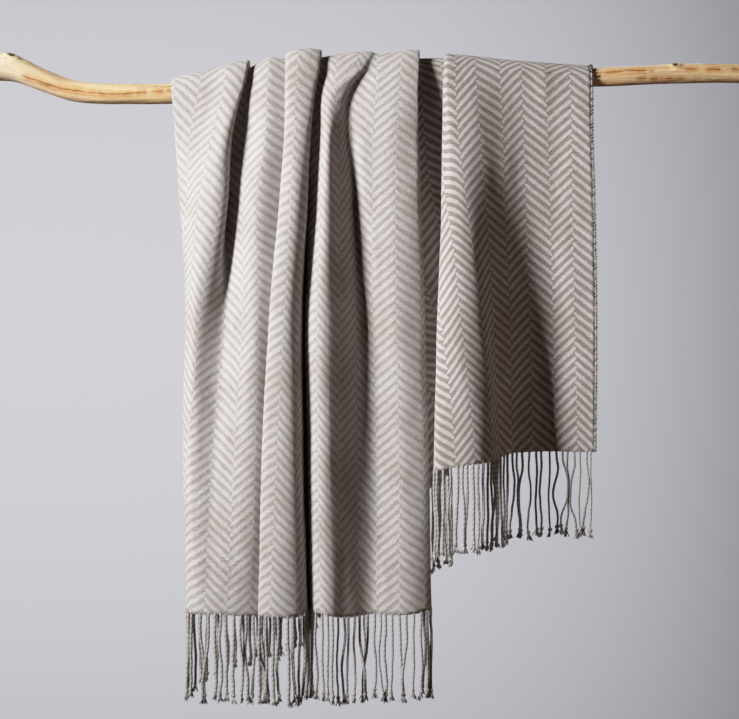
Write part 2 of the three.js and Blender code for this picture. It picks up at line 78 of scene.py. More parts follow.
# Heights at which the folds are set out, and the fold lines across the front, from the right selvage round
# the hidden layer and the left edge to the turned-in selvage. column counts the weave's columns, across is
# the place along the pole, and out is the stand-off from the pole's surface.
LEVELS = [11, -40, -104, -216, -376, -616, -872]
FOLD_ROWS = [
    {"fold": "right selvage", "column": 0.18,
     "across": [953, 954, 954, 957, 960, 959, 957], "out": [2.5, 5, 8, 9, 6, -2, -4]},
    {"fold": "right swell", "column": 1,
     "across": [919, 921, 923, 924, 927, 933, 935], "out": [2.2, 4, 5, 6, 3, -6, -7]},
    {"fold": "panel valley", "column": 2,
     "across": [880, 882, 885, 889, 893, 898, 899], "out": [2.2, 2.6, 2, 1, -3, -9, -10]},
    {"fold": "slope foot", "column": 3,
     "across": [843, 844, 846, 850, 855, 861, 863], "out": [2.4, 3, 4, 3, 2, -2, -3]},
    {"fold": "slope", "column": 4,
     "across": [808, 810, 813, 815, 822, 827, 828], "out": [3.6, 7, 12, 16, 18, 13, 13]},
    {"fold": "slope head", "column": 5,
     "across": [769, 772, 776, 784, 794, 804, 805], "out": [5.8, 12.4, 21.6, 35.5, 41, 41, 41]},
    {"fold": "panel brow", "column": 6,
     "across": [738, 738, 741, 753, 773, 792, 795], "out": [8, 16.2, 27.4, 52, 65, 67, 67]},
    {"fold": "panel ridge", "column": [6.25, 6.3, 6.35, 6.55, 7, 7.1, 7.1],
     "across": [728, 728, 731, 739, 741, 762, 764], "out": [9.2, 17, 28, 53, 73, 83, 83]},
    {"fold": "panel face", "column": [6.4, 6.45, 6.5, 6.8, 7.5, 8, 8.1],
     "across": [724, 723, 726, 729, 727, 735, 732], "out": [8.9, 16.3, 27, 51, 69, 83, 83]},
    {"fold": "panel edge", "column": [6.55, 6.6, 6.65, 7.05, 7.9, 8.85, 9],
     "across": [721, 719, 720, 720, 713, 705, 703], "out": [6.4, 12, 22, 44, 60, 74, 74]},
    {"fold": "panel return", "column": [7.1, 7.3, 7.6, 8.4, 9.5, 10.8, 11],
     "across": [736, 734, 731, 722, 719, 727, 730], "out": [4.2, 5.4, 6.5, 8, 9, 10, 10]},
    {"fold": "recess", "column": [8.3, 8.7, 9, 9.5, 10.2, 11.6, 11.8],
     "across": [700, 694, 688, 681, 688, 694, 697], "out": [2, 2.4, 3, 5, 5, 5, 5]},
    {"fold": "hidden layer, right", "column": [10.93, 11.26, 11.6, 12.05, 12.78, 14.13, 14.43],
     "across": [597, 593, 590, 586, 593, 597, 601], "out": [2, 3, 4, 5, 7, 7, 7]},
    {"fold": "hidden layer, middle", "column": [13.55, 13.83, 14.2, 14.6, 15.35, 16.65, 17.05],
     "across": [494, 492, 492, 492, 498, 500, 505], "out": [2, 3, 4, 5, 6, 8, 8]},
    {"fold": "hidden layer, left", "column": [16.18, 16.39, 16.8, 17.15, 17.93, 19.18, 19.68],
     "across": [391, 390, 394, 397, 403, 403, 409], "out": [2, 3, 4, 5, 7, 7, 7]},
    {"fold": "left edge", "column": [18.8, 18.95, 19.4, 19.7, 20.5, 21.7, 22.3],
     "across": [288, 289, 295, 302, 308, 306, 313], "out": [7, 10, 12, 14, 16, 18, 20]},
    {"fold": "side crease", "column": [19.4, 19.6, 19.93, 20.05, 20.8, 22, 22.6],
     "across": [315, 315, 315, 313, 312, 313, 320], "out": [11, 14, 19, 27, 32, 29, 27]},
    {"fold": "first face", "column": [20.4, 20.4, 20.6, 20.9, 21.2, 22.15, 22.7],
     "across": [353, 346, 339, 329, 320, 317, 326], "out": [13, 18, 28, 43, 47, 35, 31.5]},
    {"fold": "first ridge", "column": [21.4, 21.4, 21.5, 21.8, 21.75, 22.35, 22.8],
     "across": [395, 384, 371, 361, 330, 327, 331], "out": [16, 25, 38, 56, 56, 38.5, 34.5]},
    {"fold": "first edge", "column": [21.85, 21.85, 21.9, 22.3, 22.5, 22.65, 22.9],
     "across": [416, 399, 383, 376, 355, 339, 335.5], "out": [15.5, 23, 33, 48, 47, 38, 36.5]},
    {"fold": "first valley", "column": 23,
     "across": [391, 387, 377, 372, 372, 353, 340], "out": [3.6, 6, 9, 18, 36, 37, 38]},
    {"fold": "second shoulder", "column": [24.1, 24.1, 24.1, 23.9, 23.6, 23.5, 23.5],
     "across": [419, 408, 408, 399, 392, 371, 357.5], "out": [6.2, 12, 22, 38, 50, 44, 42.5]},
    {"fold": "second ridge", "column": 25,
     "across": [443, 439, 437, 424, 426, 421, 411], "out": [14, 26, 40, 59, 70, 60, 42]},
    {"fold": "second tuck", "column": [26.1, 26.1, 26.15, 26.3, 25.9, 25.75, 25.9],
     "across": [479, 479, 478, 472, 459, 446, 439], "out": [10, 19, 31, 50, 59, 47, 33]},
    {"fold": "third edge", "column": [26.5, 26.45, 26.5, 26.6, 26.4, 26.35, 26.45],
     "across": [468, 468, 467, 460, 446, 433, 426], "out": [18, 31, 44, 63, 72, 66, 49]},
    {"fold": "third ridge", "column": 27,
     "across": [490, 485, 483, 477, 469, 456, 444], "out": [24, 36, 51, 71, 79, 75, 60]},
    {"fold": "third right edge", "column": [27.8, 27.75, 27.75, 27.7, 27.85, 28.25, 28.5],
     "across": [524, 514, 507, 500, 490, 491, 498], "out": [20, 31, 45, 62, 67, 64, 50]},
    {"fold": "dark gap", "column": [29.5, 29.3, 29.3, 29.3, 29.3, 29.4, 29.6],
     "across": [483, 480, 482, 493, 498, 501, 505], "out": [6, 9, 11, 12, 13, 13, 13]},
    {"fold": "fourth edge", "column": [31.4, 31.12, 30.91, 30.69, 30.45, 30.52, 30.58],
     "across": [532, 518, 520.5, 516, 504, 508, 512.5], "out": [9, 17, 30, 46, 55, 53, 43]},
    {"fold": "fourth ridge", "column": [33.4, 32, 31.5, 31.35, 31.23, 31.2, 31.3],
     "across": [597, 546, 537, 533, 527, 526, 534], "out": [13, 31, 45, 62, 71, 67, 56]},
    {"fold": "fourth slope", "column": [33.7, 32.5, 32, 32, 32.1, 32.3, 32.3],
     "across": [606, 564, 553, 554, 557, 561, 564], "out": [12, 26, 34, 45, 54, 49, 42]},
    {"fold": "fourth valley", "column": [34, 32.9, 32.85, 33.1, 33.6, 33.8, 33.9],
     "across": [615, 571, 566, 578, 593, 605, 609], "out": [9, 17, 24, 29, 27, 25, 25]},
    {"fold": "fifth shoulder", "column": [34.4, 33.9, 33.8, 34, 34.3, 34.4, 34.5],
     "across": [630, 608, 600, 606, 617, 627, 630], "out": [10, 24, 33, 38, 37, 31, 31]},
    {"fold": "fifth ridge", "column": [35.1, 35, 35, 35, 35.1, 35.2, 35.2],
     "across": [657, 648, 645, 642, 647, 655, 656], "out": [15, 30, 41, 47, 45, 37.5, 36.5]},
    {"fold": "fifth edge", "column": [36, 36.05, 36.05, 36.15, 36.3, 36.4, 36.5],
     "across": [680, 678, 679, 681, 687, 694, 699], "out": [14, 28, 34, 36, 32, 26, 22]},
    {"fold": "turned-in selvage", "column": 37.4,
     "across": [637, 638, 643, 649, 662, 675, 686], "out": [6, 11, 16, 18, 16, 10, 9]},
]
OVERLAY_START = 15  # the row of the left edge, from which the cloth lies over itself

# Height of the front hem at the weave's columns.
FRONT_HEM = [
    {"column": 0.18, "height": -617},
    {"column": 3, "height": -617},
    {"column": 4, "height": -619},
    {"column": 5, "height": -626},
    {"column": 6, "height": -631},
    {"column": 8, "height": -638},
    {"column": 8.9, "height": -645},
    {"column": 10.8, "height": -660},
    {"column": 11.7, "height": -675},
    {"column": 14.4, "height": -708},
    {"column": 16.3, "height": -743},
    {"column": 17, "height": -778},
    {"column": 19.7, "height": -818},
    {"column": 22.3, "height": -870},
    {"column": 24, "height": -873},
    {"column": 25.5, "height": -876},
    {"column": 26.45, "height": -874},
    {"column": 28, "height": -876},
    {"column": 29.6, "height": -864},
    {"column": 30.7, "height": -868},
    {"column": 32, "height": -877},
    {"column": 34, "height": -873},
    {"column": 35, "height": -874},
    {"column": 36.45, "height": -868},
    {"column": 37.4, "height": -862},
]
BACK_FLATTENING = 0.1  # share by which the folds of the back are shallower
BACK_LAYER_GAP = 6  # between the two layers of the back
BACK_BLEND_DROP = 100  # drop below the pole by which the back has its own stand-off
BACK_HEM_SMOOTHING = 2  # columns to each side over which the front hem's height is averaged
OVER_POLE_LENGTH = 100  # woven length that lies over the pole


def smooth_curve(places, values, place):
    """Cubic curve through points with parabola slopes. places and values may be lists of arrays."""
    places = [np.asarray(p, float) for p in places]
    values = [np.asarray(v, float) for v in values]
    if places[-1].flat[0] < places[0].flat[0]:
        places, values = places[::-1], values[::-1]
    place = np.clip(place, places[0], places[-1])
    chords = [(v1 - v0) / (p1 - p0) for p0, p1, v0, v1 in zip(places, places[1:], values, values[1:])]
    slopes = [chords[0]]
    for n in range(1, len(places) - 1):
        before = places[n] - places[n - 1]
        after = places[n + 1] - places[n]
        slopes.append((chords[n - 1] * after + chords[n] * before) / (before + after))
    slopes.append(chords[-1])
    result = values[0] + 0 * place
    for n in range(len(places) - 1):
        span = places[n + 1] - places[n]
        t = np.clip((place - places[n]) / span, 0, 1)
        curve = ((2 * t**3 - 3 * t**2 + 1) * values[n] + (t**3 - 2 * t**2 + t) * span * slopes[n]
                 + (3 * t**2 - 2 * t**3) * values[n + 1] + (t**3 - t**2) * span * slopes[n + 1])
        result = np.where(place >= places[n], curve, result)
    return result


def table_curve(rows, key, value, place):
    return smooth_curve([row[key] for row in rows], [row[value] for row in rows], place)


def pole_height(along):
    return table_curve(POLE_ROWS, "along", "height", along)


def pole_radius(along):
    return table_curve(POLE_ROWS, "along", "radius", along)


def hem_height(column):
    return table_curve(FRONT_HEM, "column", "height", column)


def front_place(fold, share, level):
    """Column, place across and stand-off of the cloth between two fold lines, at an array of levels."""
    first = max(fold - 1, 0)
    rows = FOLD_ROWS[first:fold + 3]

    def read(row, key):
        value = row[key]
        if isinstance(value, list):
            return smooth_curve(LEVELS, value, level)
        return value + 0 * level

    columns = [read(row, "column") for row in rows]
    here = fold - first
    column = columns[here] + (columns[here + 1] - columns[here]) * share
    across = smooth_curve(columns, [read(row, "across") for row in rows], column)
    out = smooth_curve(columns, [read(row, "out") for row in rows], column)
    return column, across, out


def smoothstep(x, low, high):
    t = np.clip((x - low) / (high - low), 0, 1)
    return t * t * (3 - 2 * t)


# Steps of the cloth's grid along its length, and across it between two fold lines.
FRONT_STEPS = 110
OVER_STEPS = 16
BACK_STEPS = 48
LEAST_STEPS = 4
STEP_WIDTH = 5.6  # of the cloth's width, in millimetres
MEASURE_LEVEL = -300.0  # height at which the width between two fold lines is taken

FIRST_POLE_LEVEL = -20.0  # guesses that a few rounds bring to the real heights
FIRST_HEM_LEVEL = -700.0
SETTLING_ROUNDS = 5


def cloth_line(fold, share):
    """One line of the grid from the front hem over the pole to the back hem.

    Gives its points, and the weave's column and the woven length at each of them.
    """

    def at(level):
        return front_place(fold, share, np.array([float(level)]))

    pole, hem = FIRST_POLE_LEVEL, FIRST_HEM_LEVEL
    for _ in range(SETTLING_ROUNDS):
        pole = float(pole_height(at(pole)[1])[0])
        hem = float(hem_height(at(hem)[0])[0])
    level = np.linspace(hem, pole, FRONT_STEPS + 1)
    column, across, out = front_place(fold, share, level)
    radius = pole_radius(across) + out
    front = np.stack([across, -radius, level], 1)
    turn = np.linspace(0, math.pi, OVER_STEPS + 1)[1:-1]
    rim = float(pole_radius(across[-1:])[0])
    over_column, over_across, over_out = front_place(fold, share, pole + rim * np.sin(turn))
    reach = pole_radius(over_across) + over_out
    over_level = pole_height(over_across) + reach * np.sin(turn)
    over = np.stack([over_across, -reach * np.cos(turn), over_level], 1)
    end = column[0]
    before = float(hem_height(max(end - BACK_HEM_SMOOTHING, FIRST_COLUMN)))
    after = float(hem_height(min(end + BACK_HEM_SMOOTHING, LAST_COLUMN)))
    back_length = CLOTH_LENGTH - (pole - 0.5 * (before + after)) - OVER_POLE_LENGTH
    drop = back_length * np.linspace(0, 1, BACK_STEPS + 1)
    blend = smoothstep(drop, 0, BACK_BLEND_DROP)
    overlay = smoothstep(fold + share, OVERLAY_START - 1, OVERLAY_START + 1)
    back_column, back_across, back_out = front_place(fold, share, pole - drop)
    back_out = back_out * (1 - BACK_FLATTENING * blend) + BACK_LAYER_GAP * blend * overlay
    back = np.stack([back_across, pole_radius(back_across) + back_out, pole - drop], 1)
    points = np.concatenate([front, over, back])
    columns = np.concatenate([column, over_column, back_column])
    woven = np.concatenate([level - hem, (pole - hem) + OVER_POLE_LENGTH * turn / math.pi,
                            (pole - hem) + OVER_POLE_LENGTH + drop])
    return points, columns, woven


def fold_steps(fold):
    """Finer steps where the fold lines are further apart."""
    level = np.array([MEASURE_LEVEL])
    span = np.abs(front_place(fold, 1, level)[0] - front_place(fold, 0, level)[0])
    return max(LEAST_STEPS, round(float(span[0]) * COLUMN_WIDTH / STEP_WIDTH))


def drape_grid():
    """The whole cloth as a grid of points, with the weave's column and the woven length at each."""
    lines = []
    for fold in range(len(FOLD_ROWS) - 1):
        steps = fold_steps(fold)
        lines += [cloth_line(fold, step / steps) for step in range(steps)]
    lines.append(cloth_line(len(FOLD_ROWS) - 2, 1.0))
    points = np.array([line[0] for line in lines])
    columns = np.array([line[1] for line in lines])
    woven = np.array([line[2] for line in lines])
    return points, columns, woven


SHORTEST = 1e-9


def unit(vectors):
    """The vectors at length one, and those of no length as they are."""
    return vectors / np.maximum(np.linalg.norm(vectors, axis=-1, keepdims=True), SHORTEST)


def grid_normals(points):
    """The direction outwards at each point of the cloth's grid."""

    def through(grid, axis):
        step = unit(np.diff(grid, axis=axis))
        pad = [(0, 0)] * 3
        pad[axis] = (1, 0)
        before = np.pad(step, pad)
        pad[axis] = (0, 1)
        return before + np.pad(step, pad)

    return unit(np.cross(through(points, 0), through(points, 1)))


class Value:
    """One shader socket, so that shader maths reads as a sum."""

    def __init__(self, finish, socket):
        self.finish = finish
        self.socket = socket

    def __add__(self, other):
        return self.finish.math("ADD", self, other)

    def __radd__(self, other):
        return self.finish.math("ADD", other, self)

    def __sub__(self, other):
        return self.finish.math("SUBTRACT", self, other)

    def __rsub__(self, other):
        return self.finish.math("SUBTRACT", other, self)

    def __mul__(self, other):
        return self.finish.math("MULTIPLY", self, other)

    def __rmul__(self, other):
        return self.finish.math("MULTIPLY", other, self)

    def __truediv__(self, other):
        return self.finish.math("DIVIDE", self, other)

    def __abs__(self):
        return self.finish.math("ABSOLUTE", self)


class Graph:
    """Makes and joins the nodes of one tree."""

    def __init__(self, tree):
        self.tree = tree

    def node(self, kind, settings=None, inputs=None, output=0):
        made = self.tree.nodes.new(kind)
        for key, value in (settings or {}).items():
            if key == "stops":
                ramp = made.color_ramp
                while len(ramp.elements) < len(value):
                    ramp.elements.new(0.5)
                for element, (place, colour) in zip(ramp.elements, value):
                    element.position = place
                    element.color = colour
            else:
                setattr(made, key, value)
        for key, value in (inputs or {}).items():
            self.feed(made.inputs[key], value)
        return Value(self, made.outputs[output]) if made.outputs else None

    def feed(self, socket, value):
        if isinstance(value, Value):
            self.tree.links.new(value.socket, socket)
        else:
            socket.default_value = value

    def math(self, operation, first, second=0.0, third=0.0):
        settings = {"operation": operation}
        return self.node("ShaderNodeMath", settings, {0: first, 1: second, 2: third})

    def vector(self, x, y, z=0.0):
        return self.node("ShaderNodeCombineXYZ", None, {"X": x, "Y": y, "Z": z})

    def parts(self, vector):
        return [self.node("ShaderNodeSeparateXYZ", None, {"Vector": vector}, n) for n in range(3)]

    def noise(self, vector, detail=2.0, roughness=0.5):
        inputs = {"Vector": vector, "Scale": 1.0, "Detail": detail, "Roughness": roughness}
        return self.node("ShaderNodeTexNoise", None, inputs)

    def ramp(self, value, low, high, to_low=0.0, to_high=1.0):
        inputs = {"Value": value, 1: low, 2: high, 3: to_low, 4: to_high}
        return self.node("ShaderNodeMapRange", {"interpolation_type": "SMOOTHSTEP"}, inputs)

    def mix(self, factor, first, second, blend="MIX"):
        settings = {"data_type": "RGBA", "blend_type": blend}
        return self.node("ShaderNodeMix", settings, {"Factor": factor, 6: first, 7: second}, 2)

    def uv(self, name):
        return self.node("ShaderNodeUVMap", {"uv_map": name})

    def bump(self, height, distance, strength=1.0):
        inputs = {"Height": height, "Distance": distance, "Strength": strength}
        return self.node("ShaderNodeBump", None, inputs)


class Finish(Graph):
    """A material on the Principled shader. Constants go to the shader's own sockets."""

    def __init__(self, name, **shader_values):
        self.material = bpy.data.materials.new(name)
        self.material.use_nodes = True
        super().__init__(self.material.node_tree)
        self.shader = next(n for n in self.tree.nodes if n.type == "BSDF_PRINCIPLED")
        for key, value in shader_values.items():
            self.shader.inputs[key.replace("_", " ")].default_value = value

    def done(self, colour=None, roughness=None, normal=None):
        links = {"Base Color": colour, "Roughness": roughness, "Normal": normal}
        for key, value in links.items():
            if value is not None:
                self.feed(self.shader.inputs[key], value)
        return self.material


def rgb(red, green, blue):
    """A linear colour from a screen colour of 0 to 255."""
    return tuple((c / 255) ** 2.2 for c in (red, green, blue)) + (1.0,)


# The weave's figure. Lengths are in millimetres, and shares are of a bar's repeat unless they say otherwise.
BAR_PERIOD = 15.75
BAR_RISE = 32  # rise of a bar across one column
BAR_REACH = 0.065  # share of a column by which a light bar runs on over the column border
BAR_FRAY = 0.5
BAR_WOBBLE = 0.22
BAR_DRIFT = 0.2
OWN_SOFTNESS = 0.18
NEXT_WIDTH = 0.36
NEXT_SOFTNESS = 0.16
LENGTH_UNIT = 100  # millimetres of woven length in one unit of the cloth's UV map
FACE_END = 15  # column past which the side turned outwards is the reverse of the weave

# Two shades for the fibres of each kind of bar, on the weave's reverse and on its face.
REVERSE_DARK = rgb(158, 147, 143), rgb(180, 170, 166)
REVERSE_LIGHT = rgb(200, 192, 189), rgb(216, 209, 206)
FACE_DARK = rgb(140, 128, 122), rgb(168, 157, 151)
FACE_LIGHT = rgb(200, 190, 186), rgb(218, 210, 206)
FACE_OUTLINE = rgb(102, 90, 84)
CLOUD_TINT = rgb(216, 204, 194)
PILE_TIP = rgb(230, 225, 223)


def cloth_finish():
    """Brushed herringbone of slanted light and dark bars.

    They turn and step by half a bar at each column border, where the light bars' ends run on between each
    other. The face shows a fine dark line round each light bar.
    """
    finish = Finish("herringbone_silk", Roughness=0.8, Sheen_Weight=0.2, Sheen_Roughness=0.5)
    finish.shader.inputs["Specular IOR Level"].default_value = 0.2
    column, length, _ = finish.parts(finish.uv("weave"))
    length = length * LENGTH_UNIT
    slant = finish.math("PINGPONG", column, 1.0)
    odd = finish.math("FLOORED_MODULO", finish.math("FLOOR", column), 2.0)
    border = finish.math("PINGPONG", column, 0.5)
    fray = finish.noise(finish.vector(column * 24.0, length * 1.0), 4.0, 0.7)
    drift = finish.noise(finish.vector(column * 1.3, length * 0.02), 2.0)
    wobble = finish.noise(finish.vector(column * 8.0, length * 0.22, 2.0), 2.0)
    phase = (length - slant * BAR_RISE) / BAR_PERIOD + odd * 0.5
    phase = phase + (fray - 0.5) * BAR_FRAY + (wobble - 0.5) * BAR_WOBBLE + (drift - 0.5) * BAR_DRIFT
    past = finish.math("ROUND", slant) * 2.0 - slant
    next_phase = phase + (slant - past) * (BAR_RISE / BAR_PERIOD) + 0.5
    own_width = finish.ramp(border, 0.0, 0.1, 0.4, 0.54)
    own_bar = finish.math("PINGPONG", phase * 2.0, 1.0)
    own = finish.ramp(own_bar, own_width - OWN_SOFTNESS, own_width + OWN_SOFTNESS, 1.0, 0.0)
    next_width = NEXT_WIDTH - border * (0.5 / BAR_REACH)
    next_bar = finish.math("PINGPONG", next_phase * 2.0, 1.0)
    other = finish.ramp(next_bar, next_width - NEXT_SOFTNESS, next_width + NEXT_SOFTNESS, 1.0, 0.0)
    light = finish.math("MAXIMUM", own, other)
    along = (length + slant * BAR_RISE) / BAR_PERIOD
    fibre = finish.ramp(finish.noise(finish.vector(phase * 8.0, along * 1.3), 3.0, 0.6), 0.3, 0.7)
    pile = finish.ramp(finish.noise(finish.vector(column * 12.0, length * 0.35, 7.0), 4.0, 0.65), 0.3, 0.7)
    reverse = finish.mix(light, finish.mix(fibre, *REVERSE_DARK), finish.mix(fibre, *REVERSE_LIGHT))
    face = finish.mix(light, finish.mix(fibre, *FACE_DARK), finish.mix(fibre, *FACE_LIGHT))
    outline = finish.ramp(abs(light - 0.3), 0.0, 0.45, 0.85, 0.0)
    face = finish.mix(outline, face, FACE_OUTLINE)
    colour = finish.mix(finish.ramp(column, FACE_END, FACE_END + 1), face, reverse)
    cloud = finish.noise(finish.vector(column * 0.8, length * 0.012, 3.0), 3.0)
    colour = finish.mix(finish.ramp(cloud, 0.4, 0.7, 0.0, 0.5), colour, CLOUD_TINT, "MULTIPLY")
    colour = finish.mix(pile * 0.16, colour, PILE_TIP)
    height = fibre * 0.5 + pile * 0.6 + light * 0.5
    return finish.done(colour, normal=finish.bump(height, 0.0009, 0.9))


IVORY_PLY = rgb(200, 195, 191)
GREY_PLY = rgb(142, 135, 131)
PLY_SHADE = rgb(88, 81, 78)


def strand_finish():
    """Two plies, one ivory and one grey, told apart by the way round the strand."""
    finish = Finish("twisted_silk", Roughness=0.75, Sheen_Weight=0.3, Sheen_Roughness=0.5)
    around, length, _ = finish.parts(finish.uv("ply"))
    ply = finish.ramp(finish.math("PINGPONG", around * 2.0, 1.0), 0.35, 0.65)
    hair = finish.noise(finish.vector(around * 9.0, length * 55.0), 3.0, 0.7)
    colour = finish.mix(ply, IVORY_PLY, GREY_PLY)
    colour = finish.mix(finish.ramp(hair, 0.4, 0.68, 0.0, 0.55), colour, PLY_SHADE)
    return finish.done(colour, normal=finish.bump(hair, 0.0005, 0.7))


STITCH_DARK = rgb(58, 50, 46)
STITCH_LIGHT = rgb(196, 186, 176)


def stitch_finish():
    """The thread whipped over the selvages, dark and light by turns."""
    finish = Finish("selvage_thread", Roughness=0.7, Sheen_Weight=0.2)
    _, length, _ = finish.parts(finish.uv("ply"))
    hair = finish.noise(finish.vector(length * 310.0, length * 7.0), 2.0)
    colour = finish.mix(finish.ramp(hair, 0.4, 0.62), STITCH_DARK, STITCH_LIGHT)
    return finish.done(colour, normal=finish.bump(hair, 0.0004, 0.6))


# Knots of the pole: place along it, turn from the front upwards in degrees, reach and rise of the swelling.
KNOTS = [
    {"along": 30, "turn": 66, "size": 9, "rise": 2.0},
    {"along": 1090, "turn": 58, "size": 6.5, "rise": 2.6},
    {"along": 967, "turn": 0, "size": 3.4, "rise": 0.3},
]

# Long cracks, each a few stations: the place along the pole in millimetres, and the turn from the front
# upwards in degrees.
CRACKS = [
    [(40, -27), (86, -15), (140, -2), (194, -5), (290, 16)],
    [(960, 24), (1010, 27), (1060, 20)],
    [(1095, 24), (1150, 18), (1198, 21)],
    [(1020, -26), (1110, -34)],
]


GRAIN_UNIT = 100  # millimetres along the pole in one unit of its UV map
CRACK_WIDTH = 0.009  # share of the way round the pole
STAIN_WIDTH = 0.1
CRACK_FADE = 0.15  # length over which a crack fades in and out, in units of the UV map


def crack_mask(finish, along, around, stations, width):
    """How near a point is to a crack through the stations."""
    place = finish.noise(finish.vector(along * 7.0, 4.0), 3.0) * 0.04 - 0.02
    place = place + stations[0][1] / 360
    for (start, turn), (end, next_turn) in zip(stations, stations[1:]):
        rise = (next_turn - turn) / 360
        place = place + finish.ramp(along, start / GRAIN_UNIT, end / GRAIN_UNIT, 0.0, rise)
    near = finish.ramp(abs(around - place), 0.0, width, 1.0, 0.0)
    near = near * finish.ramp(finish.noise(finish.vector(along * 5.0, 9.0), 2.0), 0.36, 0.56, 0.25, 1.0)
    first, last = stations[0][0] / GRAIN_UNIT, stations[-1][0] / GRAIN_UNIT
    opening = finish.ramp(along, first, first + CRACK_FADE)
    return near * opening * finish.ramp(along, last - CRACK_FADE, last, 1.0, 0.0)


# Colours of the peeled wood, and of a painted highlight towards its left end.
WOOD_STREAK = rgb(228, 180, 122)
WOOD_PALE = rgb(252, 219, 170)
WOOD_PATCH = rgb(226, 192, 156)
WOOD_PAINTED_HIGHLIGHT = rgb(255, 242, 216)
WOOD_GRAIN = rgb(170, 122, 76)
WOOD_STAIN = rgb(206, 134, 72)
WOOD_PIT = rgb(120, 78, 46)
WOOD_CRACK = rgb(74, 44, 26)
WOOD_HEART = rgb(52, 34, 24)
HIGHLIGHT_LENGTH = 1.3  # from the left end, in units of the UV map


def wood_finish():
    """Peeled and weathered softwood: streaks along the grain, long thin cracks, pits and dark knot hearts,
    with a painted highlight towards the left end.
    """
    finish = Finish("peeled_wood", Roughness=0.6)
    finish.shader.inputs["Specular IOR Level"].default_value = 0.3
    along, around, _ = finish.parts(finish.uv("grain"))
    from_front = finish.math("FLOORED_MODULO", around + 0.5, 1.0) - 0.5
    streak = finish.noise(finish.vector(along * 0.9, around * 26.0), 4.0, 0.6)
    fine = finish.noise(finish.vector(along * 3.0, around * 110.0), 3.0, 0.7)
    patch = finish.noise(finish.vector(along * 0.8, around * 2.0, 5.0), 3.0)
    split = finish.noise(finish.vector(along * 0.35, around * 9.0, 9.0), 2.0, 0.5)
    pit = finish.ramp(finish.noise(finish.vector(along * 16.0, around * 60.0, 3.0), 1.0), 0.66, 0.74)
    crack = finish.ramp(abs(split - 0.5), 0.0, 0.006, 0.6, 0.0) * finish.ramp(patch, 0.45, 0.58)
    stain = finish.ramp(patch, 0.62, 0.75, 0.0, 0.4)
    for stations in CRACKS:
        line = crack_mask(finish, along, from_front, stations, CRACK_WIDTH)
        crack = finish.math("MAXIMUM", crack, line)
        halo = crack_mask(finish, along, from_front, stations, STAIN_WIDTH)
        stain = finish.math("MAXIMUM", stain, halo * 0.9)
    colour = finish.mix(finish.ramp(streak, 0.3, 0.7), WOOD_STREAK, WOOD_PALE)
    colour = finish.mix(finish.ramp(patch, 0.4, 0.7, 0.0, 0.4), colour, WOOD_PATCH)
    # Painted highlight: the wood is lightened towards the left end, on the side of the key light.
    colour = finish.mix(finish.ramp(along, 0.0, HIGHLIGHT_LENGTH, 0.4, 0.0), colour, WOOD_PAINTED_HIGHLIGHT)
    colour = finish.mix(finish.ramp(fine, 0.45, 0.8, 0.0, 0.35), colour, WOOD_GRAIN)
    colour = finish.mix(stain, colour, WOOD_STAIN)
    colour = finish.mix(pit * 0.7, colour, WOOD_PIT)
    colour = finish.mix(crack * 0.9, colour, WOOD_CRACK)
    heart = finish.node("ShaderNodeAttribute", {"attribute_name": "knot"}, None, 2)
    colour = finish.mix(heart, colour, WOOD_HEART)
    height = streak * 0.5 + fine * 0.35 - crack * 1.1 - pit * 0.4
    return finish.done(colour, roughness=finish.ramp(streak, 0.2, 0.8, 0.7, 0.5),
                       normal=finish.bump(height, 0.0012, 0.8))


def link(name, data):
    """A new object in the scene."""
    made = bpy.data.objects.new(name, data)
    bpy.context.scene.collection.objects.link(made)
    return made


def unwrap(shape, layer, place):
    """Writes a UV map. place gives the two coordinates of a vertex."""
    uv = shape.loops.layers.uv.new(layer)
    for face in shape.faces:
        for loop in face.loops:
            loop[uv].uv = place(loop.vert)


def piece(name, shape, material, replaced=(), places=None):
    """Links a finished bmesh as one piece. places, if given, is where its vertices go, in millimetres."""
    mesh = bpy.data.meshes.new(name)
    shape.to_mesh(mesh)
    shape.free()
    if places is not None:
        mesh.vertices.foreach_set("co", (np.asarray(places) * MM).ravel())
        mesh.update()
    mesh.polygons.foreach_set("use_smooth", [True] * len(mesh.polygons))
    made = link(name, mesh)
    mesh.materials.append(material)
    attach(made, "root")
    if replaced:
        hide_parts(*replaced)
    return made


def sheet_shape(points, columns, woven):
    """A grid carried onto the drape, with the weave's column and length as its UV map."""
    across, along = points.shape[0] - 1, points.shape[1] - 1
    shape = bmesh.new()
    bmesh.ops.create_grid(shape, x_segments=across, y_segments=along, size=0.5)
    index = {}
    for vertex in shape.verts:
        i = round((vertex.co.x + 0.5) * across)
        j = round((vertex.co.y + 0.5) * along)
        index[vertex] = (i, j)
        vertex.co = Vector(points[i, j] * MM)
    unwrap(shape, "weave", lambda vertex: (columns[index[vertex]], woven[index[vertex]] / LENGTH_UNIT))
    return shape


# Lesser swells of the drape's front: column and level of the middle, reach to either side in columns and in
# height, and stand-off.
SWELLS = [
    {"column": 5.6, "columns": 1.7, "level": -100, "height": 130, "out": 6},
    {"column": 2.05, "columns": 0.4, "level": -30, "height": 60, "out": 2},
    {"column": 0.9, "columns": 2.1, "level": -560, "height": 200, "out": 8},
    {"column": 8.9, "columns": 0.8, "level": -240, "height": 260, "out": -13},
    {"column": 21.75, "columns": 0.6, "level": -100, "height": 80, "out": 5.5},
    {"column": 33.05, "columns": 0.55, "level": -210, "height": 170, "out": -7},
    {"column": 26.0, "columns": 0.7, "level": -210, "height": 210, "out": -3},
    {"column": 33.5, "columns": 0.6, "level": -170, "height": 120, "out": 3.5},
    {"column": 35.1, "columns": 0.9, "level": -170, "height": 120, "out": -3},
]


